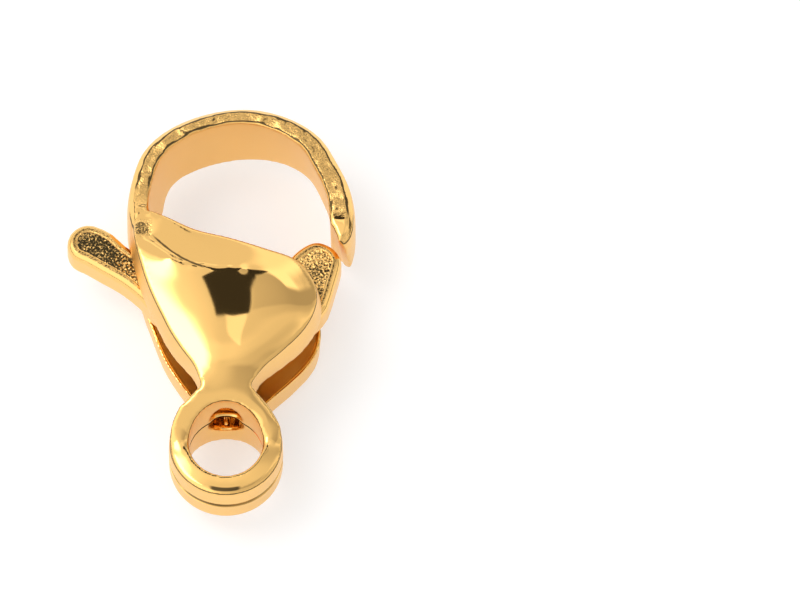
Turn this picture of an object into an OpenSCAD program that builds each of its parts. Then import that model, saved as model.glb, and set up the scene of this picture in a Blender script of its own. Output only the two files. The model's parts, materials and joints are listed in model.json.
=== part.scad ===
// Lobster clasp for a necklace or bracelet, in gold-plated steel, lying on its back.
// +X runs from the thumb tab to the gate, +Y from the tail ring to the hook, and +Z
// out of the front face. The origin is the centre of the tail bore, midway in depth.
// All sizes are in millimetres.

/* [Tail ring] */
// Bore that a jump ring passes through
tail_bore_d = 2.65; // [1.8:0.05:3]
// Outer diameter of the tail ring
tail_ring_d = 4.1; // [3.9:0.05:4.6]
// Thickness of each of the two plates of the tail ring
tail_plate_t = 1.05; // [0.7:0.05:1.2]
// Slit between the two plates of the tail ring
tail_slit = 0.1; // [0.06:0.02:0.3]
// Width of the neck between the tail ring and the domed shells
neck_w = 1.75; // [1.5:0.05:2.2]

/* [Domed shells] */
// Width of the shells
shell_w = 6.6; // [6:0.1:7.4]
// Distance from the tail bore to the shells' far corner
shell_reach = 8.85; // [8.4:0.05:9.4]
// Depth over the creases where the domed faces meet the side walls
crease_depth = 4; // [3.8:0.05:4.4]
// Rise of each domed face above its crease
dome_rise = 0.3; // [0.15:0.01:0.45]
// Thickness of the shells' walls and faces
shell_wall = 0.55; // [0.45:0.05:0.65]
// Outward lean of the front shell's side walls, from the crease to the rim
wall_lean = 0.18; // [0:0.01:0.2]
// The same for the back shell
back_lean = 0.05; // [0:0.01:0.1]
// How far the back shell stands out past the front one
back_grow = 0.2; // [0:0.02:0.3]
// Depth of the flat across the crown of the back shell, which the clasp lies on
back_flat = 0.1; // [0.04:0.02:0.14]

/* [Lever] */
// Thickness of the lever
lever_t = 1.36; // [1:0.02:1.5]
// Play between each face of the lever and the rim of its shell
lever_play = 0.06; // [0.03:0.01:0.12]
// Radius of the lever's rounded rim
lever_rim_r = 0.28; // [0.1:0.02:0.4]
// Distance from the tail bore's axis out to the end of the thumb tab
tab_reach = 5.71; // [5.4:0.05:6.3]
// Distance from the tail bore up to the middle of the thumb tab
tab_y = 8.05; // [7.8:0.05:8.2]
// Diameter of the thumb tab's round end
tab_d = 1.52; // [1.2:0.04:1.7]
// Width of the gate's round end
gate_w = 1.8; // [1.6:0.05:1.9]
// Gap between the closed gate and the hook's tip
gate_gap = 0.1; // [0.06:0.02:0.3]

/* [Pivot] */
// Distance of the pivot pin from the middle line, toward the gate
pivot_x = 0.3; // [0:0.05:0.6]
// Distance of the pivot pin from the tail bore
pivot_y = 3.7; // [3.6:0.05:4.2]
// Diameter of the pivot pin
pin_d = 0.9; // [0.6:0.05:1.1]
// Depth of the pin's seat in the face of each shell
pin_seat = 0.28; // [0.15:0.01:0.32]
// Play all round between the pin and the lever's bore
pin_play = 0.03; // [0.02:0.01:0.06]

/* [Spring] */
// Diameter of the spring wire
wire_d = 0.2; // [0.14:0.02:0.22]
// Number of turns round the pivot pin
coil_turns = 2.25; // [1.25:1:2.25]
// Play round the spring wire where it passes another piece
wire_play = 0.06; // [0.04:0.01:0.08]
// Distance from the pivot to the end of the spring's moving leg
leg_reach = 1.2; // [1:0.1:1.4]
// Depth of that leg in the back of the lever
leg_sink = 0.3; // [0.2:0.02:0.36]

/* [Hook] */
// Distance from the tail bore to the top of the hook
hook_reach = 13.1; // [12.2:0.05:14]
// Width over the hook
hook_w = 8.2; // [7.9:0.1:8.6]
// How far the hook's back stands out past the shells
hook_step = 0.27; // [0.1:0.01:0.4]
// Depth of the hook's band
band_depth = 3.05; // [2.6:0.05:3.4]
// Thickness of the hook's band at its back
band_t = 0.78; // [0.65:0.01:0.9]
// Width of the rounding along the hook's outer edges
band_bevel = 0.3; // [0.1:0.02:0.34]

/* [Hidden] */

$fn = 72;
// Curve steps between two rows of the shells' table and of the hook's
leaf_steps = 4;
hook_steps = 3;
// Room that keeps a cutting tool clear of the face that it cuts through
cut_over = 0.5;
// How far solids of one casting reach into each other where they join
merge = 0.02;

ring_r = tail_ring_d / 2;
ring_top = tail_slit / 2 + tail_plate_t;
// Width and height of the rounding along the tail ring's outer edges, and the fall of its
// crowned face, which starts at a small land round the bore.
ring_edge = 0.1;
ring_drop = 0.2;
ring_crown = 0.1;
ring_land = 0.12;
neck_y = sqrt(pow(ring_r, 2) - pow(neck_w / 2, 2));
half_w = shell_w / 2;
leaf_len = shell_reach - neck_y;
crease_z = crease_depth / 2;
rim_z = lever_t / 2 + lever_play;
hook_left = -half_w - hook_step;
hook_len = hook_reach - shell_reach;
pivot = [pivot_x, pivot_y];

// Mixes two numbers or vectors: all a at t = 0, all b at t = 1.
function mix(a, b, t) = a + (b - a) * t;

// Rises smoothly from 0 to 1 while t does.
function ease(t) = t * t * (3 - 2 * t);

// The same, level at 0 up to t = from and at 1 past t = to.
function ease_between(from, to, t) = ease(min(1, max(0, (t - from) / (to - from))));

// Row of a table at place u, on a smooth curve through its rows.
function row_at(rows, u) =
    let(last = len(rows) - 1, i = min(floor(u), last - 1), t = u - i,
        a = i > 0 ? rows[i - 1] : 2 * rows[0] - rows[1],
        b = rows[i], c = rows[i + 1],
        d = i + 2 > last ? 2 * rows[last] - rows[last - 1] : rows[i + 2])
    b + t / 2 * (c - a + t * (2 * a - 5 * b + 4 * c - d + t * (3 * (b - c) + d - a)));

// The rows of a table, with smooth steps between them.
function smooth_rows(rows, steps) =
    [for (i = [0 : (len(rows) - 1) * steps]) row_at(rows, i / steps)];

// Unit vector to the right of the way that a line of points runs, at its point i.
function right_of(line, i) =
    let(way = line[min(i + 1, len(line) - 1)] - line[max(i - 1, 0)])
    [way.y, -way.x] / norm(way);

// The same for a closed loop of points.
function right_of_loop(loop, i) =
    let(n = len(loop), way = loop[(i + 1) % n] - loop[(i + n - 1) % n])
    [way.y, -way.x] / norm(way);

function at_height(p, z) = [p.x, p.y, z];

function middle_of(ring) = [for (p = ring) 1] * ring / len(ring);

// Solid through rings of points with one count, each end closed to its middle.
module skin(rings) {
    n = len(rings[0]);
    m = len(rings);
    points = concat([for (ring = rings) each ring], [middle_of(rings[0]), middle_of(rings[m - 1])]);
    sides = [for (i = [0 : m - 2]) for (j = [0 : n - 1])
        let(k = (j + 1) % n, a = i * n, b = a + n)
        each [[a + j, b + k, b + j], [a + j, a + k, b + k]]];
    ends = [for (j = [0 : n - 1]) let(k = (j + 1) % n, b = (m - 1) * n)
        each [[m * n, k, j], [m * n + 1, b + j, b + k]]];
    polyhedron(points, concat(sides, ends));
}

// Rows of the shells from the neck to the far corner. Lengths across are shares of
// the half width, lengths along are shares of the way from the neck to the corner.
// right, ridge and left are where each row meets the gate side, the ridge that parts
// the shoulder from the main face, and the tab side. high is the ridge's share of the
// dome's rise, swell that of the main face over the straight line across it, wall
// the share of the shells' wall, and deep the share of the height of the crease.
//  right x, right y, ridge x, ridge y, left x,  left y, high, swell, wall, deep
LEAF = [
    [0.265,  0.000,   0.243,   0.001,   -0.265,  0.000,  0.03, 0.10,  0.50, 1.00],
    [0.410,  0.095,   0.380,   0.100,   -0.349,  0.107,  0.07, 0.45,  0.70, 1.00],
    [0.621,  0.192,   0.585,   0.202,   -0.480,  0.200,  0.13, 0.72,  0.90, 1.00],
    [0.824,  0.295,   0.773,   0.310,   -0.600,  0.295,  0.23, 0.80,  1.00, 1.00],
    [0.942,  0.392,   0.824,   0.395,   -0.697,  0.392,  0.47, 0.78,  1.00, 1.00],
    [0.985,  0.492,   0.742,   0.478,   -0.773,  0.471,  0.67, 0.66,  1.00, 1.00],
    [0.930,  0.595,   0.606,   0.550,   -0.830,  0.538,  0.83, 0.56,  1.00, 1.00],
    [0.758,  0.701,   0.409,   0.604,   -0.879,  0.604,  0.93, 0.46,  1.00, 1.00],
    [0.424,  0.764,   0.152,   0.635,   -0.915,  0.664,  1.00, 0.42,  1.00, 1.00],
    [0.045,  0.824,  -0.121,   0.633,   -0.945,  0.718,  0.93, 0.38,  1.00, 1.00],
    [-0.333, 0.871,  -0.364,   0.650,   -0.970,  0.767,  0.73, 0.30,  0.90, 1.00],
    [-0.667, 0.949,  -0.591,   0.724,   -0.991,  0.818,  0.43, 0.20,  0.60, 0.98],
    [-0.845, 0.985,  -0.788,   0.807,   -1.000,  0.871,  0.13, 0.08,  0.35, 0.93],
    [-0.960, 0.957,  -0.909,   0.871,   -1.003,  0.914, -0.20, 0.00,  0.10, 0.86]
];

// Row of the shell over the tail ring, at the share t of the way from the ring's
// middle to the neck: the width of the ring, and the full table row for the rest.
function ring_row(t) =
    let(y = mix(merge, neck_y, t), x = sqrt(pow(ring_r - merge, 2) - y * y),
        along = (y - neck_y) / leaf_len)
    [x / half_w, along, (x - ring_edge) / half_w, along, -x / half_w, along, 0, 0.05 * t, 0.5, 1];

ring_rows = 5;
leaf_rows = concat([for (i = [0 : ring_rows - 1]) ring_row(i / ring_rows)],
    smooth_rows(LEAF, leaf_steps));
leaf_right = [for (r = leaf_rows) [r[0] * half_w, neck_y + r[1] * leaf_len]];
leaf_ridge = [for (r = leaf_rows) [r[2] * half_w, neck_y + r[3] * leaf_len]];
leaf_left = [for (r = leaf_rows) [r[4] * half_w, neck_y + r[5] * leaf_len]];

// Height of the crease at y: level with the tail ring, then up to the shells' depth.
rise_end = neck_y + 0.09 * leaf_len;
function crease_at(y) =
    mix(ring_top - merge, crease_z, pow(ease_between(0, rise_end, y), 0.8));

// Height of the lower edge of the side wall at y, where the lever needs its room.
rim_run = 0.45;
function rim_at(y) =
    mix(tail_slit / 2 + merge, rim_z, ease_between(neck_y, neck_y + rim_run, y));

// Share of the back shell's extra width at row i: none at the neck, and little by the gate.
function growth_at(i) =
    let(along = leaf_rows[i][5])
    ease_between(0, 0.11, along) * (1 - 0.8 * ease_between(0.34, 0.54, along));

// Shares of that growth that the tab side and the ridge follow.
tab_growth = 0.6;
ridge_growth = 0.5;

// Share of the walls' lean at y: none at the neck, and all of it past the lean's run.
lean_run = 2;
function lean_share(y) = ease_between(neck_y, neck_y + lean_run, y);

// Share of the hollow's depth at row i, from none at the neck and at the corner. Its
// slopes there are as long as this many rows of the table.
neck_slope = 1.3;
corner_slope = 2.7;
function hollow_at(i) =
    ease_between(0, neck_slope, (i - ring_rows) / leaf_steps)
    * ease_between(0, corner_slope, (len(leaf_rows) - 1 - i) / leaf_steps);

// Steps over the dome, and places across the hollow's ceiling.
face_steps = 10;
ceiling_places = [0, 0.19, 0.5, 0.81, 1];
// Share of the dome's rise that the ceiling follows.
ceiling_follow = 0.6;
// The side walls bend at this share of their height, where they have most of their lean.
wall_bend = 0.45;
wall_bend_lean = 0.8;
// Inside its edge, the rim slopes into the hollow: the edge's share of the wall's
// thickness, and the depth of the slope.
lip = 0.15;
slope_depth = 0.5;
// The dome stops short of the tab side by this share of the half width, and as high up
// there as this share of its rise.
far_in = 0.03;
far_high = 0.1;

// Cross-section of a shell at row i: up the gate side, over the dome, down the tab
// side, over the rim, and back along the hollow's ceiling. grow is how far it stands
// out at the gate, and lean is how far its walls lean out.
function shell_ring(i, grow, lean) =
    let(row = leaf_rows[i],
        out_r = right_of(leaf_right, i), out_l = -right_of(leaf_left, i),
        right = leaf_right[i] + grow * growth_at(i) * out_r,
        left = leaf_left[i] + tab_growth * grow * growth_at(i) * out_l,
        ridge = leaf_ridge[i] + ridge_growth * grow * growth_at(i) * out_r,
        wall_share = row[8],
        far = left - out_l * far_in * half_w * min(1, wall_share + 0.4),
        top_r = row[9] * crease_at(right.y), top_l = row[9] * crease_at(left.y),
        ridge_z = top_r + row[6] * dome_rise,
        far_z = top_l + far_high * dome_rise * wall_share,
        bottom_r = rim_at(right.y), bottom_l = rim_at(left.y),
        lean_r = lean * lean_share(right.y), lean_l = lean * lean_share(left.y),
        in_r = right - out_r * shell_wall * wall_share,
        in_l = left - out_l * shell_wall * wall_share,
        edge_r = right + out_r * lean_r, edge_l = left + out_l * lean_l,
        slope = slope_depth * hollow_at(i))
    concat(
        [at_height(mix(edge_r, in_r, lip), bottom_r),
         at_height(edge_r, bottom_r),
         at_height(right + out_r * lean_r * wall_bend_lean, mix(bottom_r, top_r, wall_bend)),
         at_height(right, top_r)],
        [for (k = [0 : face_steps])
            let(t = k / face_steps)
            at_height(mix(ridge, far, t),
                mix(ridge_z, far_z, t) + row[7] * dome_rise * 4 * t * (1 - t))],
        [at_height(left, top_l),
         at_height(left + out_l * lean_l * wall_bend_lean, mix(bottom_l, top_l, wall_bend)),
         at_height(edge_l, bottom_l),
         at_height(mix(edge_l, in_l, lip), bottom_l)],
        [for (t = ceiling_places)
            let(roof_z = mix(top_l, top_r, t) + ceiling_follow * dome_rise - shell_wall,
                base_z = mix(bottom_l, bottom_r, t))
            at_height(mix(in_l, in_r, t),
                t > 0 && t < 1 ? mix(base_z, roof_z, hollow_at(i)) : base_z + slope)]);

// A shell whose crown is levelled down by the depth of a flat.
module shell(grow, flat, lean) {
    rings = [for (i = [0 : len(leaf_rows) - 1]) shell_ring(i, grow, lean)];
    top = max([for (ring = rings) for (p = ring) p.z]) - flat;
    skin([for (ring = rings) [for (p = ring) at_height(p, min(p.z, top))]]);
}

// Rows of the hook from its foot in the shells to its tip, along the outer face.
// Across is a share of the hook's width from its left face, along is a share of the
// way from the shells' corner to the top, and thick and deep are shares of the band's
// thickness at its back and of its depth. Lean is how far the inner face stands in at
// the back of the clasp, as a share of its thickness, and tilt is the slope of the
// row in depth, which makes the tip's front the longest.
//  across, along, thick, deep, lean, tilt
HOOK = [
    [0.029, -0.280, 0.80, 1.22,  0.20, 0.00],
    [0.002, -0.040, 1.00, 1.18,  0.40, 0.00],
    [0.002,  0.150, 1.00, 1.03,  0.44, 0.00],
    [0.020,  0.360, 1.02, 1.00,  0.42, 0.00],
    [0.061,  0.583, 1.02, 1.00,  0.30, 0.00],
    [0.148,  0.769, 0.98, 1.00,  0.15, 0.00],
    [0.278,  0.910, 0.94, 1.00,  0.16, 0.00],
    [0.435,  0.990, 0.92, 1.00,  0.15, 0.00],
    [0.584,  0.988, 0.95, 1.00,  0.02, 0.00],
    [0.733,  0.894, 1.05, 1.00, -0.22, 0.00],
    [0.854,  0.720, 1.15, 1.00, -0.36, 0.00],
    [0.932,  0.464, 1.20, 1.00, -0.34, 0.00],
    [0.978,  0.265, 1.22, 1.00, -0.24, 0.00],
    [0.997,  0.085, 1.22, 1.00, -0.12, 0.00],
    [1.000, -0.085, 1.18, 0.99, -0.04, 0.02],
    [0.996, -0.158, 0.98, 0.97,  0.00, 0.06],
    [0.984, -0.226, 0.74, 0.95,  0.00, 0.10],
    [0.967, -0.268, 0.48, 0.92,  0.00, 0.13]
];
hook_rows = smooth_rows(HOOK, hook_steps);
hook_line = [for (r = hook_rows) [hook_left + r[0] * hook_w, shell_reach + r[1] * hook_len]];
hook_last = len(hook_rows) - 1;

// Cross-section of the hook's band at row i, with rounded outer edges, which reach
// twice as far down the band as across it, and a small bevel along the inner ones.
inner_bevel = 0.08;
function band_ring(i) =
    let(row = hook_rows[i], t = band_t * row[2], z = band_depth / 2 * row[3], b = band_bevel,
        inward = right_of(hook_line, i), ahead = [inward.y, -inward.x],
        back_t = t + band_t * row[4], c = inner_bevel)
    [for (p = [[0, 2 * b - z], [0.3 * b, 0.7 * b - z], [b, -z], [back_t - c, -z],
               [back_t, c - z], [t, z - c], [t - c, z],
               [b, z], [0.3 * b, z - 0.7 * b], [0, z - 2 * b]])
        at_height(hook_line[i] + inward * p[0] - ahead * row[5] * p[1], p[1])];

module hook() {
    skin([for (i = [0 : hook_last]) band_ring(i)]);
}

// One of the two plates of the tail ring. Its face falls away from the bore to a
// rounded outer edge.
module tail_plate() {
    edge_top = ring_top - ring_crown;
    rotate_extrude()
        polygon([[0, tail_slit / 2], [ring_r, tail_slit / 2], [ring_r, edge_top - ring_drop],
                 [ring_r - 0.3 * ring_edge, edge_top - 0.4 * ring_drop],
                 [ring_r - ring_edge, edge_top],
                 [ring_r - 3 * ring_edge, ring_top - 0.5 * ring_crown],
                 [tail_bore_d / 2 + ring_land, ring_top], [0, ring_top]]);
}

// Arched passage from the tail bore into the hollow of the shells. Its outline is given
// for one side, in shares of its half width and of its height.
ARCH = [[0, 1], [0.34, 0.95], [0.6, 0.78], [0.8, 0.5], [0.93, 0.18], [1, -0.15],
        [0.94, -0.42], [0.74, -0.65], [0.42, -0.82], [0, -0.87]];
arch_side = 0.225;
arch_roof = 0.12;
arch_half = neck_w / 2 - arch_side;
arch_h = ring_top - arch_roof;
arch_floor_z = arch_h * ARCH[len(ARCH) - 1].y;
arch_start = tail_bore_d / 4;
arch_run = 0.3;
arch_end = rise_end + arch_run;
module arch_passage() {
    translate([0, arch_end, 0])
        rotate([90, 0, 0])
            linear_extrude(arch_end - arch_start)
                polygon([for (side = [1, -1], i = [0 : len(ARCH) - 2])
                    let(p = ARCH[side > 0 ? i : len(ARCH) - 1 - i])
                    [side * p.x * arch_half, p.y * arch_h]]);
}

// Room for the lever at the tab side, up to the spine, which is the foot of the hook.
spine_gap = 0.2;
spine_y = tab_y + spine_gap;
module lever_room() {
    translate([hook_left - cut_over, neck_y, -rim_z])
        cube([band_t + hook_step + 2 * cut_over, spine_y - neck_y, 2 * rim_z]);
}

pin_end_z = crease_z + ceiling_follow * dome_rise - shell_wall + pin_seat;
module pin_rod(extra = 0) {
    translate([pivot.x, pivot.y, -pin_end_z - extra])
        cylinder(d = pin_d, h = 2 * (pin_end_z + extra));
}

// One casting: two domed shells, the hook that joins them, and the tail ring.
module body() {
    color("gold")
        difference() {
            union() {
                for (side = [0, 1])
                    mirror([0, 0, side]) {
                        shell(side * back_grow, side * back_flat, mix(wall_lean, back_lean, side));
                        tail_plate();
                    }
                hook();
            }
            translate([0, 0, -crease_z])
                cylinder(d = tail_bore_d, h = crease_depth);
            arch_passage();
            lever_room();
            pin_rod(merge / 2);
        }
}

// The gate closes against the inner side of the hook's tip. Its corner is the place
// level with the tip's end where the gate would meet the full width of the band.
full_tip = max([for (r = HOOK) r[2]]);
gate_corner = [hook_left + hook_w - band_t * full_tip - gate_gap, hook_line[hook_last].y];
tab_r = tab_d / 2;
tab_mid = [tab_r - tab_reach, tab_y];

// Edge of the lever, round by the gate, the thumb tab and the foot. Points of the gate
// are shares of its width from its corner, those of the tab are shares of its radius
// from its middle, and the rest are shares of the shells, like the rows of LEAF.
function in_leaf(p) = [p.x * half_w, neck_y + p.y * leaf_len];
FOOT_RIGHT = [[0.258, 0.124], [0.394, 0.178], [0.545, 0.250], [0.697, 0.321], [0.848, 0.387],
              [0.985, 0.447], [1.103, 0.522]];
GATE = [[0.19, -0.69], [0.27, -0.39], [0.30, -0.20], [0.25, -0.06], [0.16, 0.07], [0.02, 0.17],
        [-0.16, 0.23], [-0.33, 0.20], [-0.51, 0.09], [-0.68, -0.07], [-0.83, -0.29]];
BACK = [[0.430, 0.705], [0.000, 0.730], [-0.480, 0.765], [-0.860, 0.805]];
TAB_TOP = [[1.74, -0.08], [1.13, 0.53]];
TAB_LOW = [[0.59, -1.46], [1.53, -2.04], [2.45, -2.84]];
FOOT_LEFT = [[-0.810, 0.500], [-0.667, 0.443], [-0.545, 0.378], [-0.439, 0.314], [-0.333, 0.235],
             [-0.218, 0.164], [0.015, 0.115]];
lever_points = concat(
    [for (p = FOOT_RIGHT) in_leaf(p)],
    [for (p = GATE) gate_corner + gate_w * p],
    [for (p = BACK) in_leaf(p)],
    [for (p = TAB_TOP) tab_mid + tab_r * p],
    [for (a = [75 : 37 : 260]) tab_mid + tab_r * [cos(a), sin(a)]],
    [for (p = TAB_LOW) tab_mid + tab_r * p],
    [for (p = FOOT_LEFT) in_leaf(p)]);

// The points of a closed loop, with smooth steps between them.
function smooth_loop(loop, steps) =
    let(n = len(loop), rows = [for (i = [-1 : n + 1]) loop[(i + n) % n]])
    [for (i = [0 : n * steps - 1]) row_at(rows, 1 + i / steps)];

lever_edge = smooth_loop(lever_points, 2);
function lever_inset(d) =
    [for (i = [0 : len(lever_edge) - 1]) lever_edge[i] - d * right_of_loop(lever_edge, i)];

// Rounded rim of the lever, as a closed frame of the plate's thickness with a flat land
// inside its rounding on both faces.
rim_land = 0.1;
module lever_rim() {
    r = lever_rim_r;
    n = len(lever_edge);
    turns = [for (a = [90 : -30 : 0]) [r * (1 - cos(a)), lever_t / 2 - r * (1 - sin(a))]];
    upper = concat([[r + rim_land, lever_t / 2]], turns);
    lower = [for (k = [len(upper) - 1 : -1 : 0]) [upper[k][0], -upper[k][1]]];
    section = concat(upper, lower);
    m = len(section);
    points = [for (p = section) each [for (q = lever_inset(p[0])) at_height(q, p[1])]];
    faces = [for (i = [0 : m - 1]) for (j = [0 : n - 1])
        let(k = (j + 1) % n, a = i * n, b = (i + 1) % m * n)
        each [[a + j, b + k, b + j], [a + j, a + k, b + k]]];
    polyhedron(points, faces);
}

module lever_plate() {
    translate([0, 0, -lever_t / 2])
        linear_extrude(lever_t)
            polygon(lever_inset(lever_rim_r + rim_land / 2));
    lever_rim();
}

coil_r = pin_d / 2 + wire_play + wire_d / 2;
coil_pitch = 1.2 * wire_d;
coil_top_z = -lever_t / 2 - wire_play - wire_d / 2;
coil_end_z = coil_top_z - coil_turns * coil_pitch;
// Distance past the pivot at which the moving leg bends into the lever.
leg_bend = 0.4;

// Groove in the back of the lever that holds the spring's moving leg.
module leg_groove() {
    w = wire_d + 2 * wire_play;
    translate([pivot.x + leg_bend, pivot.y + coil_r - w / 2, -lever_t / 2 - cut_over])
        cube([leg_reach - leg_bend + wire_play, w, cut_over + leg_sink + wire_play]);
}

// Thumb tab and gate in one plate, which turns on the pivot pin.
module lever() {
    color("goldenrod")
        difference() {
            lever_plate();
            translate([pivot.x, pivot.y, -lever_t])
                cylinder(d = pin_d + 2 * pin_play, h = 2 * lever_t);
            leg_groove();
        }
}

// Plain pin, seated in the faces of both shells.
module pivot_pin() {
    color("darkgoldenrod") pin_rod();
}

// Middle line of the spring wire: the moving leg, the coil, and the fixed leg, which
// ends as a nub in the arched passage by the tail bore. The coil ends half a turn past
// two full ones, so that the fixed leg leaves it toward the tail.
nub = [0, (tail_bore_d + wire_d) / 2, arch_floor_z + wire_play + wire_d];
coil_last = 900;
coil_first = coil_last - 360 * coil_turns;
coil_turn_steps = 16;
coil_steps = coil_turns * coil_turn_steps;
function coil_point(t) =
    let(a = mix(coil_first, coil_last, t))
    [pivot.x + coil_r * cos(a), pivot.y + coil_r * sin(a), mix(coil_top_z, coil_end_z, t)];

moving_y = pivot.y + coil_r;
sunk_z = -lever_t / 2 + leg_sink - wire_d / 2;
moving_leg = [[pivot.x + leg_reach, moving_y, sunk_z],
              [pivot.x + mix(leg_bend, leg_reach, 0.6), moving_y, sunk_z],
              [pivot.x + leg_bend, moving_y, coil_top_z]];

// Shares of the way from the coil's end to the nub, across, along and in depth.
FIXED_LEG = [[0, 0.15, 0], [0.6, 0.5, 0.72], [0.76, 0.62, 0.93], [1, 1, 1]];
function fixed_point(share) =
    let(from = coil_point(1))
    [for (k = [0 : 2]) mix(from[k], nub[k], share[k])];

wire_line = concat(moving_leg, [for (i = [0 : coil_steps]) coil_point(i / coil_steps)],
    [for (share = FIXED_LEG) fixed_point(share)]);

function along(line, i) =
    let(way = line[min(i + 1, len(line) - 1)] - line[max(i - 1, 0)])
    way / norm(way);

wire_sides = 8;
module spring() {
    color("silver")
        skin([for (i = [0 : len(wire_line) - 1])
            let(way = along(wire_line, i), flat = [way.y, -way.x, 0] / norm([way.x, way.y]),
                rise = cross(flat, way))
            [for (k = [0 : wire_sides - 1])
                let(a = 360 * k / wire_sides)
                wire_line[i] + wire_d / 2 * (cos(a) * flat + sin(a) * rise)]]);
}

body();
lever();
pivot_pin();
spring();
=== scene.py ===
import json
import math

import bmesh
import bpy
from bpy.props import FloatProperty, FloatVectorProperty, IntProperty, PointerProperty
from bpy.types import Operator, Panel, PropertyGroup
from mathutils import Matrix, Vector
from mathutils.kdtree import KDTree


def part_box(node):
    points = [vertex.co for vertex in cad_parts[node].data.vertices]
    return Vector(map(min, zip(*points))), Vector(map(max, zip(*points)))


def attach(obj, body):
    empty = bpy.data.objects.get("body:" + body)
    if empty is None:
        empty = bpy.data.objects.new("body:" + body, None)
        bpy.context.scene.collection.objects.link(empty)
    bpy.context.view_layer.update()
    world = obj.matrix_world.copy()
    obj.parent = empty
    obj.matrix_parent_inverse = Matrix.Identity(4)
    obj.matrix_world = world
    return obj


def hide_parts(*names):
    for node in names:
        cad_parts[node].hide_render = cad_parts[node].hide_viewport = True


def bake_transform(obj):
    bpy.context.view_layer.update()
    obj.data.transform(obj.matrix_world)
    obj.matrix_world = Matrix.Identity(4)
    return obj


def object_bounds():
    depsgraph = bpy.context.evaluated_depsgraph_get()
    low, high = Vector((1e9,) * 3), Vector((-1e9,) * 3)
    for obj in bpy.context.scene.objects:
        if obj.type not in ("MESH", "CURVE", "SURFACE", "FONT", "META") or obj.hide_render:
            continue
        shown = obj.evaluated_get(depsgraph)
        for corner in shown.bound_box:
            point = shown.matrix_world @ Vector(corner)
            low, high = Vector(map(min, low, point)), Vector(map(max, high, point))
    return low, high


bl_info = {
    "name": "Lobster Clasp",
    "version": (1, 0, 0),
    "blender": (4, 5, 0),
    "location": "View3D > Sidebar > Clasp",
    "description": "Finishes the metalwork of a small gold-plated lobster clasp",
    "category": "Object",
}

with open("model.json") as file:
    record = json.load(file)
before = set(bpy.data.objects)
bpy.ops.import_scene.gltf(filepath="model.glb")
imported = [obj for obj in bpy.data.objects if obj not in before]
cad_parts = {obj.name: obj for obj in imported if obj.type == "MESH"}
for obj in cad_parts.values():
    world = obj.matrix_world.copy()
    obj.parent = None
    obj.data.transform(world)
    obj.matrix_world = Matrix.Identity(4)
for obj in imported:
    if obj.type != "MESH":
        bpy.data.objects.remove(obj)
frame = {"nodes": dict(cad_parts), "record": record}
CAD_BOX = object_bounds()

MM = 0.001

# Places on the casting, in millimetres from the centre of the tail ring's bore
TAIL = next(m for m in frame["record"]["mounts"] if m["name"] == "tail_ring")
BORE_R = TAIL["dims"]["r_mm"]
RING_R = -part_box("body")[0].y / MM
# Heights of the ring's front plate, just over the slit and just under its front face
PLATE_LOW, PLATE_HIGH = 0.3, 0.8
# Roots of that plate: x, y, share of the smoothing there, and its fall with each millimetre
RING_ROOTS = ((1.5, 1.25, 1.5, 2.0), (-1.45, 1.55, 0.6, 1.5))
# The hook's front face lies past this y, over this z, and looks forward by at least this much
HOOK_Y, HOOK_Z, HOOK_FACING = 8.5, 1.0, 0.8

# Working sizes, in millimetres: doubles merge within the first, and points on an edge that keeps
# its shape stand about the second apart
MERGE, EDGE_STEP = 0.0005, 0.06
# Distances from such an edge at which the smoothing starts and reaches its full share
EDGE_BAND, FULL_BAND = 0.08, 0.3
SMOOTH_ANGLE = math.radians(50)

# A face is all wall while it looks forward or back by less than the first, and none of it is past
# the second
WALL = (0.35, 0.75)

IMAGE = (800, 600)
# Where the tail bore's centre stands in the image, in pixels from its top left corner
TAIL_PIXEL = (226, 454.1)
FLOOR_SIZE = 0.6
PAPER = ([0.58, 0.585, 0.595, 1], [0.6, 0.605, 0.615, 1])
PAPER_GLOW = 0.8
DAYLIGHT = (1.0, 0.985, 0.96, 1.0)


class ClaspCasting(PropertyGroup):
    cell: FloatProperty(
        name="Cell", description="Size of the cells of the casting's mesh",
        default=0.000072, min=0.00004, max=0.0002, precision=6, unit="LENGTH")
    rounds: IntProperty(
        name="Tumbling",
        description="Rounds of smoothing, which soften every edge as tumbling does",
        default=5, min=0, max=20)
    crisp: FloatProperty(
        name="Crisp Edges",
        description="Angle past which an edge of the casting keeps its shape",
        default=math.radians(20), min=math.radians(5), subtype="ANGLE")
    evening: IntProperty(
        name="Evening", description="Rounds of smoothing over the faces between those edges",
        default=120, min=0, max=1000)
    slit: FloatProperty(
        name="Slit", description="Width of the slit between the plates of the tail ring",
        default=0.00009, min=0.00005, max=0.0003, precision=6, unit="LENGTH")
    flare: FloatProperty(
        name="Flare", description="Width by which the slit opens at the ring's edge",
        default=0.00016, min=0.0, max=0.0003, precision=6, unit="LENGTH")
    blow: FloatProperty(
        name="Blow", description="Size of the hammer's marks on the hook's front face",
        default=0.0005, min=0.0002, max=0.001, precision=6, unit="LENGTH")
    dent: FloatProperty(
        name="Dent", description="Depth of those marks",
        default=0.00014, min=0.0, max=0.0003, precision=6, unit="LENGTH")


class ClaspLever(PropertyGroup):
    cell: FloatProperty(
        name="Cell", description="Size of the cells of the lever's mesh",
        default=0.00005, min=0.00003, max=0.0002, precision=6, unit="LENGTH")
    rounds: IntProperty(
        name="Tumbling", description="Rounds of smoothing over the lever",
        default=4, min=0, max=20)
    margin: FloatProperty(
        name="Margin", description="Width of the smooth land round the pebbled field",
        default=0.00003, min=0.00001, max=0.0003, precision=6, unit="LENGTH")
    depth: FloatProperty(
        name="Field Depth", description="Depth of the pebbled field under that land",
        default=0.00005, min=0.00002, max=0.0001, precision=6, unit="LENGTH")


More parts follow.
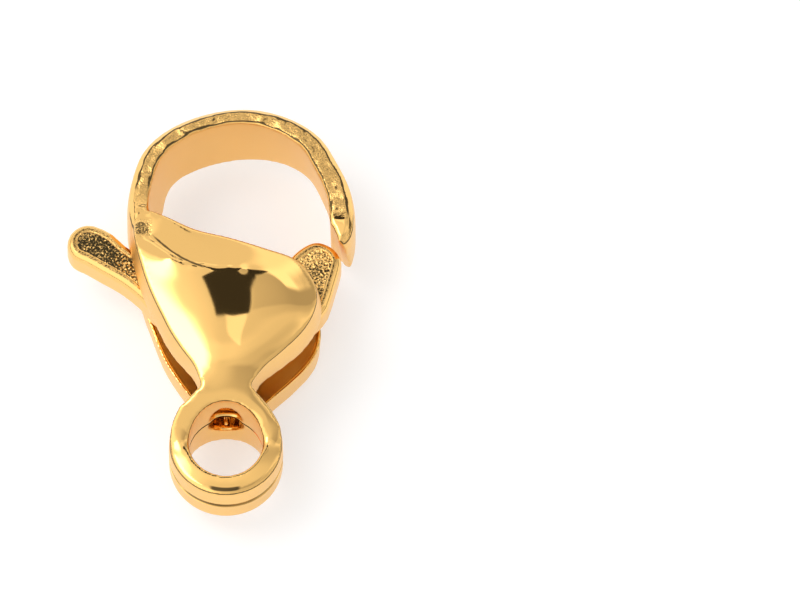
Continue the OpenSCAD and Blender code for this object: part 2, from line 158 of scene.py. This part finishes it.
class ClaspFinish(PropertyGroup):
    gold: FloatVectorProperty(
        name="Gold", description="Colour of the polished plating",
        default=(0.98, 0.60, 0.20), min=0.0, max=1.0, subtype="COLOR")
    polish: FloatProperty(
        name="Polish", description="Roughness of the polished faces",
        default=0.035, min=0.0, max=1.0, subtype="FACTOR")
    satin: FloatProperty(
        name="Satin", description="Roughness of the side walls",
        default=0.34, min=0.0, max=1.0, subtype="FACTOR")
    pebble: FloatProperty(
        name="Pebble", description="Size of the pebbles on the lever's front face",
        default=0.00009, min=0.00005, max=0.0005, precision=6, unit="LENGTH")
    # Dark colour painted for dark reflections and shade: the lever's pebbled field, the ring's
    # slit, the casting's dark lines, and a ragged patch in the hook's corner
    tarnish_and_painted_shade: FloatVectorProperty(
        name="Tarnish", description="Colour of the plating between the pebbles",
        default=(0.05, 0.036, 0.016), min=0.0, max=1.0, subtype="COLOR")
    # Colour painted on the back shell's inner face and the lever's foot for the look of the
    # shaded slots; lighter than the gold
    painted_slot_shade: FloatVectorProperty(
        name="Shade", description="Colour of the thin plating inside the shells",
        default=(1.0, 0.68, 0.26), min=0.0, max=1.0, subtype="COLOR")


class ClaspStage(PropertyGroup):
    elevation: FloatProperty(
        name="Elevation", description="Angle of the camera above the floor",
        default=math.radians(65), subtype="ANGLE")
    scale: FloatProperty(
        name="Scale", description="Image pixels to a millimetre at the clasp",
        default=28.0, min=1.0)
    lens: FloatProperty(
        name="Lens", description="Focal length of the camera, in millimetres",
        default=1200.0, min=50.0)
    light: FloatProperty(
        name="Light", description="Strength of the studio's light",
        default=1.0, min=0.0)


def let_go():
    if bpy.context.mode != "OBJECT":
        bpy.ops.object.mode_set(mode="OBJECT")
    bpy.ops.object.select_all(action="DESELECT")


def pick(piece):
    let_go()
    piece.select_set(True)
    bpy.context.view_layer.objects.active = piece


def edit(piece):
    pick(piece)
    bpy.ops.object.mode_set(mode="EDIT")
    bpy.ops.mesh.select_all(action="SELECT")


def apply(piece, kind, **settings):
    """Adds a modifier with these settings and applies it."""
    pick(piece)
    bpy.ops.object.modifier_add(type=kind)
    modifier = piece.modifiers[-1]
    for key, value in settings.items():
        setattr(modifier, key, value)
    bpy.ops.object.modifier_apply(modifier=modifier.name)


def cut(piece, tool):
    """Cuts a tool out of a piece and clears the tool away."""
    apply(piece, "BOOLEAN", operation="DIFFERENCE", object=tool, solver="EXACT")
    bpy.data.objects.remove(tool)


def bench_copy(node, name):
    """A merged copy of a CAD node at one unit to the millimetre, which the remesh and
    boolean tools are made for."""
    piece = bpy.data.objects.new(name, frame["nodes"][node].data.copy())
    bpy.context.scene.collection.objects.link(piece)
    piece.data.materials.clear()
    piece.data.transform(Matrix.Scale(1 / MM, 4))
    edit(piece)
    bpy.ops.mesh.customdata_custom_splitnormals_clear()
    bpy.ops.mesh.remove_doubles(threshold=MERGE)
    bpy.ops.object.mode_set(mode="OBJECT")
    return piece


def disc(name, radius, low, high, ends="NGON"):
    """Disc about the tail bore's axis, at one unit to the millimetre."""
    let_go()
    bpy.ops.mesh.primitive_cylinder_add(
        vertices=128, radius=radius, depth=high - low, end_fill_type=ends,
        location=(0, 0, (low + high) / 2))
    tool = bpy.context.active_object
    tool.name = name
    bpy.ops.object.transform_apply(location=True, rotation=True, scale=True)
    return tool


def sharp_edges(piece, angle):
    """Search tree of points along the edges where faces meet at more than an angle."""
    mesh = bmesh.new()
    mesh.from_mesh(piece.data)
    points = []
    for edge in mesh.edges:
        if edge.calc_face_angle(math.pi) > angle:
            steps = max(1, round(edge.calc_length() / EDGE_STEP))
            a, b = (v.co for v in edge.verts)
            points += [a.lerp(b, k / steps) for k in range(steps + 1)]
    mesh.free()
    tree = KDTree(len(points))
    for i, point in enumerate(points):
        tree.insert(point, i)
    tree.balance()
    return tree


def soft_spot(place):
    """Share of the smoothing that the tail ring's faces, its sides and its roots get, where the
    shells flow into it and no edge is kept."""
    if place.z < PLATE_LOW:
        return 0.0
    reach = math.hypot(place.x, place.y)
    on_face = BORE_R + 0.15 < reach < RING_R - 0.2 and place.z > PLATE_HIGH
    by_side = reach < RING_R + 0.2
    shares = [1.0 if on_face else 0.0, 0.3 - 0.6 * abs(place.y) if by_side else 0.0]
    for x, y, share, fall in RING_ROOTS:
        shares.append(share - fall * math.hypot(place.x - x, place.y - y))
    return max(shares)


def even_out(piece, edges, rounds):
    """Smooths the faces between the sharp edges, which keep their shape."""
    group = piece.vertex_groups.new(name="faces")
    for vertex in piece.data.vertices:
        away = edges.find(vertex.co)[2]
        far_off = (away - EDGE_BAND) / (FULL_BAND - EDGE_BAND)
        share = min(1.0, max(soft_spot(vertex.co), far_off))
        group.add([vertex.index], share, "REPLACE")
    apply(piece, "SMOOTH", factor=0.5, iterations=rounds, vertex_group=group.name)
    piece.vertex_groups.clear()


def cast(piece, cell, rounds):
    """Turns sharp solids into one skin with the soft edges of a tumbled casting."""
    apply(piece, "REMESH", mode="VOXEL", voxel_size=cell / MM, use_smooth_shade=True)
    if rounds:
        apply(piece, "SMOOTH", factor=0.5, iterations=rounds)


def hammer(casting, size):
    """Dents the front face of the hook with a hammer's soft blows, which fade out at its root
    and where it rounds off."""
    group = casting.vertex_groups.new(name="blows")
    for vertex in casting.data.vertices:
        past_root, upright = vertex.co.y - HOOK_Y, vertex.normal.z - HOOK_FACING
        if vertex.co.z > HOOK_Z and past_root > 0 and upright > 0:
            share = min(1.0, past_root * 2) * min(1.0, upright * 6)
            group.add([vertex.index], share, "REPLACE")
    texture = bpy.data.textures.new("blows", "CLOUDS")
    texture.noise_scale = size.blow / MM
    apply(casting, "DISPLACE", texture=texture, texture_coords="LOCAL", mid_level=0.5,
          strength=size.dent / MM, vertex_group=group.name)
    casting.vertex_groups.clear()


def hand_over(piece, body, node, material):
    """Brings a bench piece back to metres and gives it its finish and its place. A piece that is
    given no body rides on none."""
    piece.data.transform(Matrix.Scale(MM, 4))
    pick(piece)
    bpy.ops.object.shade_smooth_by_angle(angle=SMOOTH_ANGLE)
    piece.data.materials.append(material)
    if body:
        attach(piece, body)
    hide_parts(node)


class Number:
    """A number in a material. An expression on it adds its Math nodes."""

    def __init__(self, finish, socket):
        self.finish = finish
        self.socket = socket

    def _with(self, operation, *values):
        inputs = dict(enumerate(values))
        return self.finish.add("Math", {"operation": operation}, inputs)

    def __add__(self, other):
        return self._with("ADD", self, other)

    def __radd__(self, other):
        return self._with("ADD", other, self)

    def __sub__(self, other):
        return self._with("SUBTRACT", self, other)

    def __rsub__(self, other):
        return self._with("SUBTRACT", other, self)

    def __mul__(self, other):
        return self._with("MULTIPLY", self, other)

    def __rmul__(self, other):
        return self._with("MULTIPLY", other, self)

    def __abs__(self):
        return self._with("ABSOLUTE", self)

    def above(self, low, high):
        """0 under low and 1 over high, with a smooth step between them."""
        inputs = {"Value": self, "From Min": low, "From Max": high}
        return self.finish.add("MapRange", {"interpolation_type": "SMOOTHSTEP"}, inputs)

    def below(self, low, high):
        """1 under low and 0 over high."""
        return 1 - self.above(low, high)

    def between(self, low, high, soft):
        """1 from low to high, with a step as wide as soft inside each end."""
        return self.above(low, low + soft) * self.below(high - soft, high)


class Finish:
    """The nodes of one material or of the world's light."""

    def __init__(self, owner):
        owner.use_nodes = True
        self.owner = owner
        self.tree = owner.node_tree
        self.tree.nodes.clear()

    def add(self, kind, settings=None, inputs=None, output=0):
        """Adds a node, first with its settings and then with its inputs' values or links."""
        node = self.tree.nodes.new("ShaderNode" + kind)
        for key, value in (settings or {}).items():
            setattr(node, key, value)
        for key, value in (inputs or {}).items():
            if isinstance(value, Number):
                self.tree.links.new(value.socket, node.inputs[key])
            else:
                node.inputs[key].default_value = value
        return Number(self, node.outputs[output]) if node.outputs else None

    def place(self):
        """Object coordinates in millimetres, as one vector and as three numbers."""
        spot = self.add("TexCoord", output="Object")
        spot = self.add("VectorMath", {"operation": "SCALE"}, {0: spot, "Scale": 1 / MM})
        return spot, [self.add("SeparateXYZ", None, {0: spot}, axis) for axis in "XYZ"]

    def facing(self):
        """How far the face looks to the front of the clasp, from -1 to 1."""
        normal = self.add("TexCoord", output="Normal")
        return self.add("SeparateXYZ", None, {0: normal}, "Z")

    def noise(self, spot, size, detail=2.0):
        """Cloudy pattern with spots of this size in millimetres, from 0 to 1."""
        inputs = {"Vector": spot, "Scale": 1 / size, "Detail": detail, "Roughness": 0.5}
        return self.add("TexNoise", None, inputs)

    def cells(self, spot, size):
        """Height of rounded grains of this size in millimetres."""
        inputs = {"Vector": spot, "Scale": 1 / size, "Smoothness": 0.6}
        return self.add("TexVoronoi", {"feature": "SMOOTH_F1"}, inputs)

    def mix(self, share, low, high):
        """Colour between two others."""
        return self.add("Mix", {"data_type": "RGBA"}, {0: share, 6: low, 7: high}, 2)

    def bump(self, height, depth):
        inputs = {"Height": height, "Distance": depth * MM, "Strength": 1.0}
        return self.add("Bump", None, inputs)

    def metal(self, colour, roughness, normal):
        inputs = {"Base Color": colour, "Roughness": roughness, "Normal": normal}
        inputs["Metallic"] = 1.0
        surface = self.add("BsdfPrincipled", None, inputs)
        self.add("OutputMaterial", None, {"Surface": surface})
        return self.owner


def rgba(colour, share=1.0):
    """A share of a colour, as a node's socket takes it."""
    return [share * c for c in colour] + [1.0]


def cast_gold(looks):
    """Plated casting: mirror polish in front, satin walls, and a dimpled face on the hook."""
    finish = Finish(bpy.data.materials.new("cast_gold"))
    spot, (x, y, z) = finish.place()
    facing = finish.facing()
    wall = abs(facing).below(*WALL)
    hook = y.above(8.6, 9.0)
    hook_face = hook * facing.above(0.9, 0.97)
    inner_wall = wall * y.above(8.6, 8.9)
    # Rough corner where the hook leaves the shells on the tab's side
    corner = x.between(-3.45, -2.6, 0.3) * y.between(7.6, 8.5, 0.3) * facing.above(0.3, 0.6)
    # Inner face of the back shell, behind the lever, rougher and painted in the slot's shade
    # colour
    inside = facing.above(0.2, 0.5) * z.below(-0.88, -0.8) * y.between(1.9, 8.7, 0.1)
    grain = finish.noise(spot, 0.06, 3.0)
    ragged = finish.noise(spot, 0.2, 3.0) - 0.5
    sand = finish.noise(spot, 0.028)
    swirl = finish.noise(spot, 1.4)
    height = grain * (hook_face * 0.28 + corner) + sand * (wall * 0.25 + 0.002)
    normal = finish.bump(height, 0.05)
    roughness = (looks.polish + wall * (looks.satin - looks.polish) + hook_face * 0.06
                 + inner_wall * 0.06 + inside * 0.3 + (swirl - 0.5) * 0.03)
    colour = finish.mix(swirl, rgba(looks.gold, 0.97), rgba(looks.gold))
    colour = finish.mix(hook_face * grain.above(0.42, 0.6), colour, rgba(looks.gold, 0.84))
    colour = finish.mix(inside, colour, rgba(looks.painted_slot_shade))
    # Dark ragged patch in the corner by the hook's root
    patch = (corner + ragged * 1.2).above(0.5, 0.9) * grain.below(0.5, 0.62) * 0.85
    # Dark colour over that patch, painted shade in the ring's slit, and painted dark reflections
    # and shade along the lines
    for dark_paint in (patch, painted_slit_shade(x, y, z), painted_shade_lines(x, y, z, facing, ragged, hook)):
        colour = finish.mix(dark_paint, colour, rgba(looks.tarnish_and_painted_shade))
    return finish.metal(colour, roughness, normal)


def painted_slit_shade(x, y, z):
    """Painted shade in the slit of the tail ring, fainter on the gate's side."""
    ring = (x * x + y * y).between(2.2, 4.15, 0.15)
    slit = ring * abs(z).below(0.19, 0.22) * y.below(0.0, 0.6)
    return slit * (0.8 - x.above(-0.3, 0.8) * 0.35)


def painted_shade_lines(x, y, z, facing, ragged, hook):
    """Painted dark reflections and shade along the hook's bevel, the creases of the shells and
    the tab's half of the dome's ridge, and a painted dark reflection in a spot on the tail ring's
    front edge."""
    turn = facing + ragged * 0.06
    root = x.below(-2.2, -1.8) * y.below(9.6, 10.1)
    bevel = hook * z.above(0.9, 1.2) * turn.between(0.75, 0.99, 0.03) * (1 - root * 0.8)
    crease = (1 - hook) * z.above(0.8, 0.9) * turn.between(0.3, 0.62, 0.12)
    # The ridge starts by the hook's root and bows out towards the tail
    from_start = x + 2.73
    along = from_start * 0.55
    across = from_start * 0.636 + (y - 7.86) * 0.772 + along * (1 - along) * 0.6
    ridge = (abs(across) + ragged * 0.05).below(0.02, 0.06) * x.between(-2.8, -0.6, 0.4)
    ridge = ridge * z.above(1.6, 1.8)
    spot = (x * x + y * y).between(3.05, 3.85, 0.3) * x.between(-0.7, 0.65, 0.3)
    spot = spot * y.below(-1.6, -1.5) * z.above(0.85, 0.95)
    return (bevel + crease + ridge * 0.8 + spot).above(0.1, 0.9) * 0.9


def lever_gold(looks, land_z):
    """Plated lever: pebbled front face, polished rim and satin walls."""
    finish = Finish(bpy.data.materials.new("lever_gold"))
    spot, (x, y, z) = finish.place()
    facing = finish.facing()
    field = facing.above(0.94, 0.985) * z.below(land_z - 0.035, land_z - 0.015)
    wall = abs(facing).below(*WALL)
    # The lever's walls by its foot, in the slot, are painted in the slot's shade colour
    shaded_foot = wall * y.below(4.3, 4.8)
    pebbles = finish.cells(spot, looks.pebble / MM)
    grain = finish.noise(spot, 0.03)
    height = (pebbles * 1.3 + grain * 0.5) * field + grain * wall * 0.2
    normal = finish.bump(height, 0.025)
    roughness = looks.polish + field * 0.06 + wall * (looks.satin - looks.polish)
    # Painted dark reflection over the pebbled field, broken by flecks of plain gold, more of them
    # on the gate
    fleck = finish.noise(spot, 0.08, 3.0) + finish.noise(spot, 1.1) * 0.5
    fleck = fleck + x.above(-4.4, 3) * 0.08
    clear_gold = 1 - field * (1 - fleck.above(0.7, 0.95))
    colour = finish.mix(clear_gold, rgba(looks.tarnish_and_painted_shade), rgba(looks.gold))
    colour = finish.mix(shaded_foot, colour, rgba(looks.painted_slot_shade))
    return finish.metal(colour, roughness, normal)


def wire_gold(name, looks):
    """Drawn and plated wire, with fine marks along its surface."""
    finish = Finish(bpy.data.materials.new(name))
    spot, _ = finish.place()
    grain = finish.noise(spot, 0.04)
    normal = finish.bump(grain, 0.004)
    return finish.metal(rgba(looks.gold), looks.polish + grain * 0.12, normal)


class CLASP_OT_casting(Operator):
    """Casts the shells, the hook and the tail ring as one piece of polished metal"""
    bl_idname = "clasp.casting"
    bl_label = "Casting"

    def execute(self, context):
        size = context.scene.clasp_casting
        casting = bench_copy("body", "casting")
        edges = sharp_edges(casting, size.crisp)
        join_washer(casting)
        cast(casting, size.cell, size.rounds)
        even_out(casting, edges, size.evening)
        hammer(casting, size)
        cut(casting, slit_cutter(size))
        looks = context.scene.clasp_finish
        hand_over(casting, "casting", "body", cast_gold(looks))
        return {"FINISHED"}


def join_washer(casting):
    """Fills the slit of the tail ring, which is cut again once the casting is smooth."""
    inset, half = 0.03, 0.12
    washer = disc("washer", RING_R - inset, -half, half, "NOTHING")
    apply(washer, "SOLIDIFY", thickness=RING_R - BORE_R - 2 * inset, offset=-1)
    let_go()
    washer.select_set(True)
    casting.select_set(True)
    bpy.context.view_layer.objects.active = casting
    bpy.ops.object.join()


def slit_cutter(size):
    """Thin disc that grows thicker from just inside the tail ring's edge."""
    half, flare = size.slit / MM / 2, size.flare / MM / 2
    inside, outside = 0.16, 0.3
    rim = half + flare * (inside + outside) / inside
    tool = disc("slit", RING_R + outside, -rim, rim)
    edit(tool)
    bpy.ops.mesh.select_mode(type="FACE")
    bpy.ops.mesh.select_all(action="DESELECT")
    bpy.ops.mesh.select_face_by_sides(number=4, type="GREATER")
    bpy.ops.mesh.inset(thickness=inside + outside)
    bpy.ops.transform.resize(value=(1, 1, half / rim), center_override=(0, 0, 0))
    bpy.ops.object.mode_set(mode="OBJECT")
    return tool


class CLASP_OT_lever(Operator):
    """Casts the lever with its thumb tab and its gate"""
    bl_idname = "clasp.lever"
    bl_label = "Lever"

    def execute(self, context):
        size = context.scene.clasp_lever
        lever = bench_copy("lever", "thumb_lever")
        land_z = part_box("lever")[1].z / MM
        sink_field(lever, land_z, size)
        cast(lever, size.cell, size.rounds)
        looks = context.scene.clasp_finish
        hand_over(lever, "lever", "lever", lever_gold(looks, land_z))
        return {"FINISHED"}


def sink_field(lever, land_z, size):
    """Sinks the lever's front face inside a narrow land along its rim."""
    edit(lever)
    bpy.ops.mesh.select_mode(type="FACE")
    bpy.ops.mesh.select_all(action="DESELECT")
    mesh = bmesh.from_edit_mesh(lever.data)
    for face in mesh.faces:
        flat = face.normal.z > 0.99
        face.select = flat and face.calc_center_median().z > land_z - 0.01
    bmesh.update_edit_mesh(lever.data)
    bpy.ops.mesh.inset(thickness=size.margin / MM, depth=-size.depth / MM)
    bpy.ops.object.mode_set(mode="OBJECT")


class CLASP_OT_wirework(Operator):
    """Rounds the spring's wire and finishes it and the pivot pin"""
    bl_idname = "clasp.wirework"
    bl_label = "Pin and Spring"

    def execute(self, context):
        looks = context.scene.clasp_finish
        pin = frame["nodes"]["pivot_pin"]
        pin.data.materials.clear()
        pin.data.materials.append(wire_gold("pin_gold", looks))
        spring = bench_copy("spring", "coil_spring")
        apply(spring, "SUBSURF", levels=2, render_levels=2)
        hand_over(spring, None, "spring", wire_gold("spring_gold", looks))
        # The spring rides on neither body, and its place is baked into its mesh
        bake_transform(spring)
        return {"FINISHED"}


class CLASP_OT_stage(Operator):
    """Lays a pale floor, lights it softly and sets the camera up at the clasp's angle"""
    bl_idname = "clasp.stage"
    bl_label = "Stage"

    def execute(self, context):
        stage = context.scene.clasp_stage
        lay_floor()
        light_studio(context.scene, stage)
        set_camera(context.scene, stage)
        return {"FINISHED"}


def lay_floor():
    let_go()
    bpy.ops.mesh.primitive_plane_add(size=FLOOR_SIZE, location=(0, 0, CAD_BOX[0].z))
    floor = bpy.context.active_object
    floor.name = "floor"
    bpy.ops.object.transform_apply(location=True, rotation=True, scale=True)
    finish = Finish(bpy.data.materials.new("paper"))
    spot, _ = finish.place()
    tone = finish.mix(finish.noise(spot, 3.0), *PAPER)
    inputs = {"Base Color": tone, "Roughness": 0.9, "Emission Color": tone}
    inputs["Emission Strength"] = PAPER_GLOW
    surface = finish.add("BsdfPrincipled", None, inputs)
    finish.add("OutputMaterial", None, {"Surface": surface})
    floor.data.materials.append(finish.owner)


def light_studio(scene, stage):
    """Sets a white tent round the clasp, brighter at the left."""
    scene.view_settings.view_transform = "Standard"
    world = bpy.data.worlds.new("tent")
    scene.world = world
    finish = Finish(world)
    toward = finish.add("TexCoord", output="Generated")
    x, y, z = [finish.add("SeparateXYZ", None, {0: toward}, axis) for axis in "XYZ"]
    inputs = {"Color": DAYLIGHT, "Strength": tent_light(x, y, z) * stage.light}
    finish.add("OutputWorld", None, {"Surface": finish.add("Background", None, inputs)})


def tent_light(x, y, z):
    """Strength of the tent's light by direction. It has bright panels, soft folds and dark
    openings overhead, and a dim gap near the floor."""
    overhead = z.above(0.2, 0.4)
    high = y.above(0.68, 0.76)
    # Bright panels
    left = x.below(-0.4, -0.08) * y.below(0.36, 0.5)
    softbox = x.between(-0.66, -0.22, 0.1) * y.between(-0.12, 0.34, 0.06)
    stripe = (x + y * 0.68 - high * 0.04).between(0.585, 0.75, 0.045) * y.above(0.5, 0.56)
    edge = x.above(0.33, 0.45) * y.between(-0.4, 0.25, 0.15)
    middle = y.between(0.08, 0.3, 0.08)
    wedge = (x + y * 1.15).above(0.3, 0.31) * (x + y * 0.3).below(0.126, 0.136)
    wedge = wedge * y.below(0.345, 0.365)
    lit = left * 0.55 + softbox * 2.7 + stripe * (0.6 - high * 0.22) + wedge * 0.4
    lit = lit + edge * 0.35 + middle * 0.15
    # Soft folds
    right = x.above(-0.02, 0.32) * y.below(0.65, 0.75) * (1 - stripe)
    near = x.above(-0.1, 0.12) * y.between(-0.42, 0.06, 0.08)
    far = x.above(0.035, 0.06) * y.between(0.35, 0.65, 0.03) * (1 - stripe)
    folds = 1 - right * (0.2 + y.above(0.25, 0.38) * 0.13)
    folds = folds * (1 - near * 0.28) * (1 - far * 0.2)
    # Dark openings
    slot = x.between(-0.147, 0.047, 0.015) * y.between(0.338, 0.47, 0.015)
    slant = (x - y * 0.45).between(-0.269, -0.143, 0.015) * y.between(0.42, 0.7, 0.03)
    dark = (slot + slant).above(0.0, 1.0)
    bright = 0.9 + lit * overhead + (1 - overhead) * x.below(-0.3, 0.3) * 0.25
    tent = bright * (1 - overhead * (1 - folds)) * (1 - dark * overhead * 0.95)
    gap = z.between(0.03, 0.16, 0.04) * 0.85
    return tent * (1 - gap)


def set_camera(scene, stage):
    """Looks along +Y from high above, with the clasp at its place in the image."""
    back = Vector((0, -math.cos(stage.elevation), math.sin(stage.elevation)))
    right = Vector((1, 0, 0))
    up = back.cross(right)
    across = (IMAGE[0] / 2 - TAIL_PIXEL[0]) / stage.scale * MM
    upward = (TAIL_PIXEL[1] - IMAGE[1] / 2) / stage.scale * MM
    middle = right * across + up * upward
    data = bpy.data.cameras.new("camera")
    data.lens = stage.lens
    distance = IMAGE[0] / stage.scale * MM * stage.lens / data.sensor_width
    camera = bpy.data.objects.new("camera", data)
    scene.collection.objects.link(camera)
    camera.location = middle + back * distance
    camera.rotation_euler = (math.pi / 2 - stage.elevation, 0, 0)
    data.clip_start = distance / 10
    data.clip_end = distance * 4
    scene.camera = camera


class CLASP_PT_panel(Panel):
    bl_label = "Lobster Clasp"
    bl_space_type = "VIEW_3D"
    bl_region_type = "UI"
    bl_category = "Clasp"

    def draw(self, context):
        for name in GROUPS:
            group = getattr(context.scene, name)
            column = self.layout.column()
            for key in group.__annotations__:
                column.prop(group, key)
        for operator in OPERATORS:
            self.layout.operator(operator.bl_idname)


GROUPS = {
    "clasp_casting": ClaspCasting,
    "clasp_lever": ClaspLever,
    "clasp_finish": ClaspFinish,
    "clasp_stage": ClaspStage,
}
OPERATORS = (CLASP_OT_casting, CLASP_OT_lever, CLASP_OT_wirework, CLASP_OT_stage)


def register():
    for name, group in GROUPS.items():
        bpy.utils.register_class(group)
        setattr(bpy.types.Scene, name, PointerProperty(type=group))
    for operator in OPERATORS:
        bpy.utils.register_class(operator)
    bpy.utils.register_class(CLASP_PT_panel)


def unregister():
    bpy.utils.unregister_class(CLASP_PT_panel)
    for operator in reversed(OPERATORS):
        bpy.utils.unregister_class(operator)
    for name, group in reversed(GROUPS.items()):
        delattr(bpy.types.Scene, name)
        bpy.utils.unregister_class(group)


def main():
    register()
    bpy.ops.clasp.casting()
    bpy.ops.clasp.lever()
    bpy.ops.clasp.wirework()
    bpy.ops.clasp.stage()


if __name__ == "__main__":
    main()
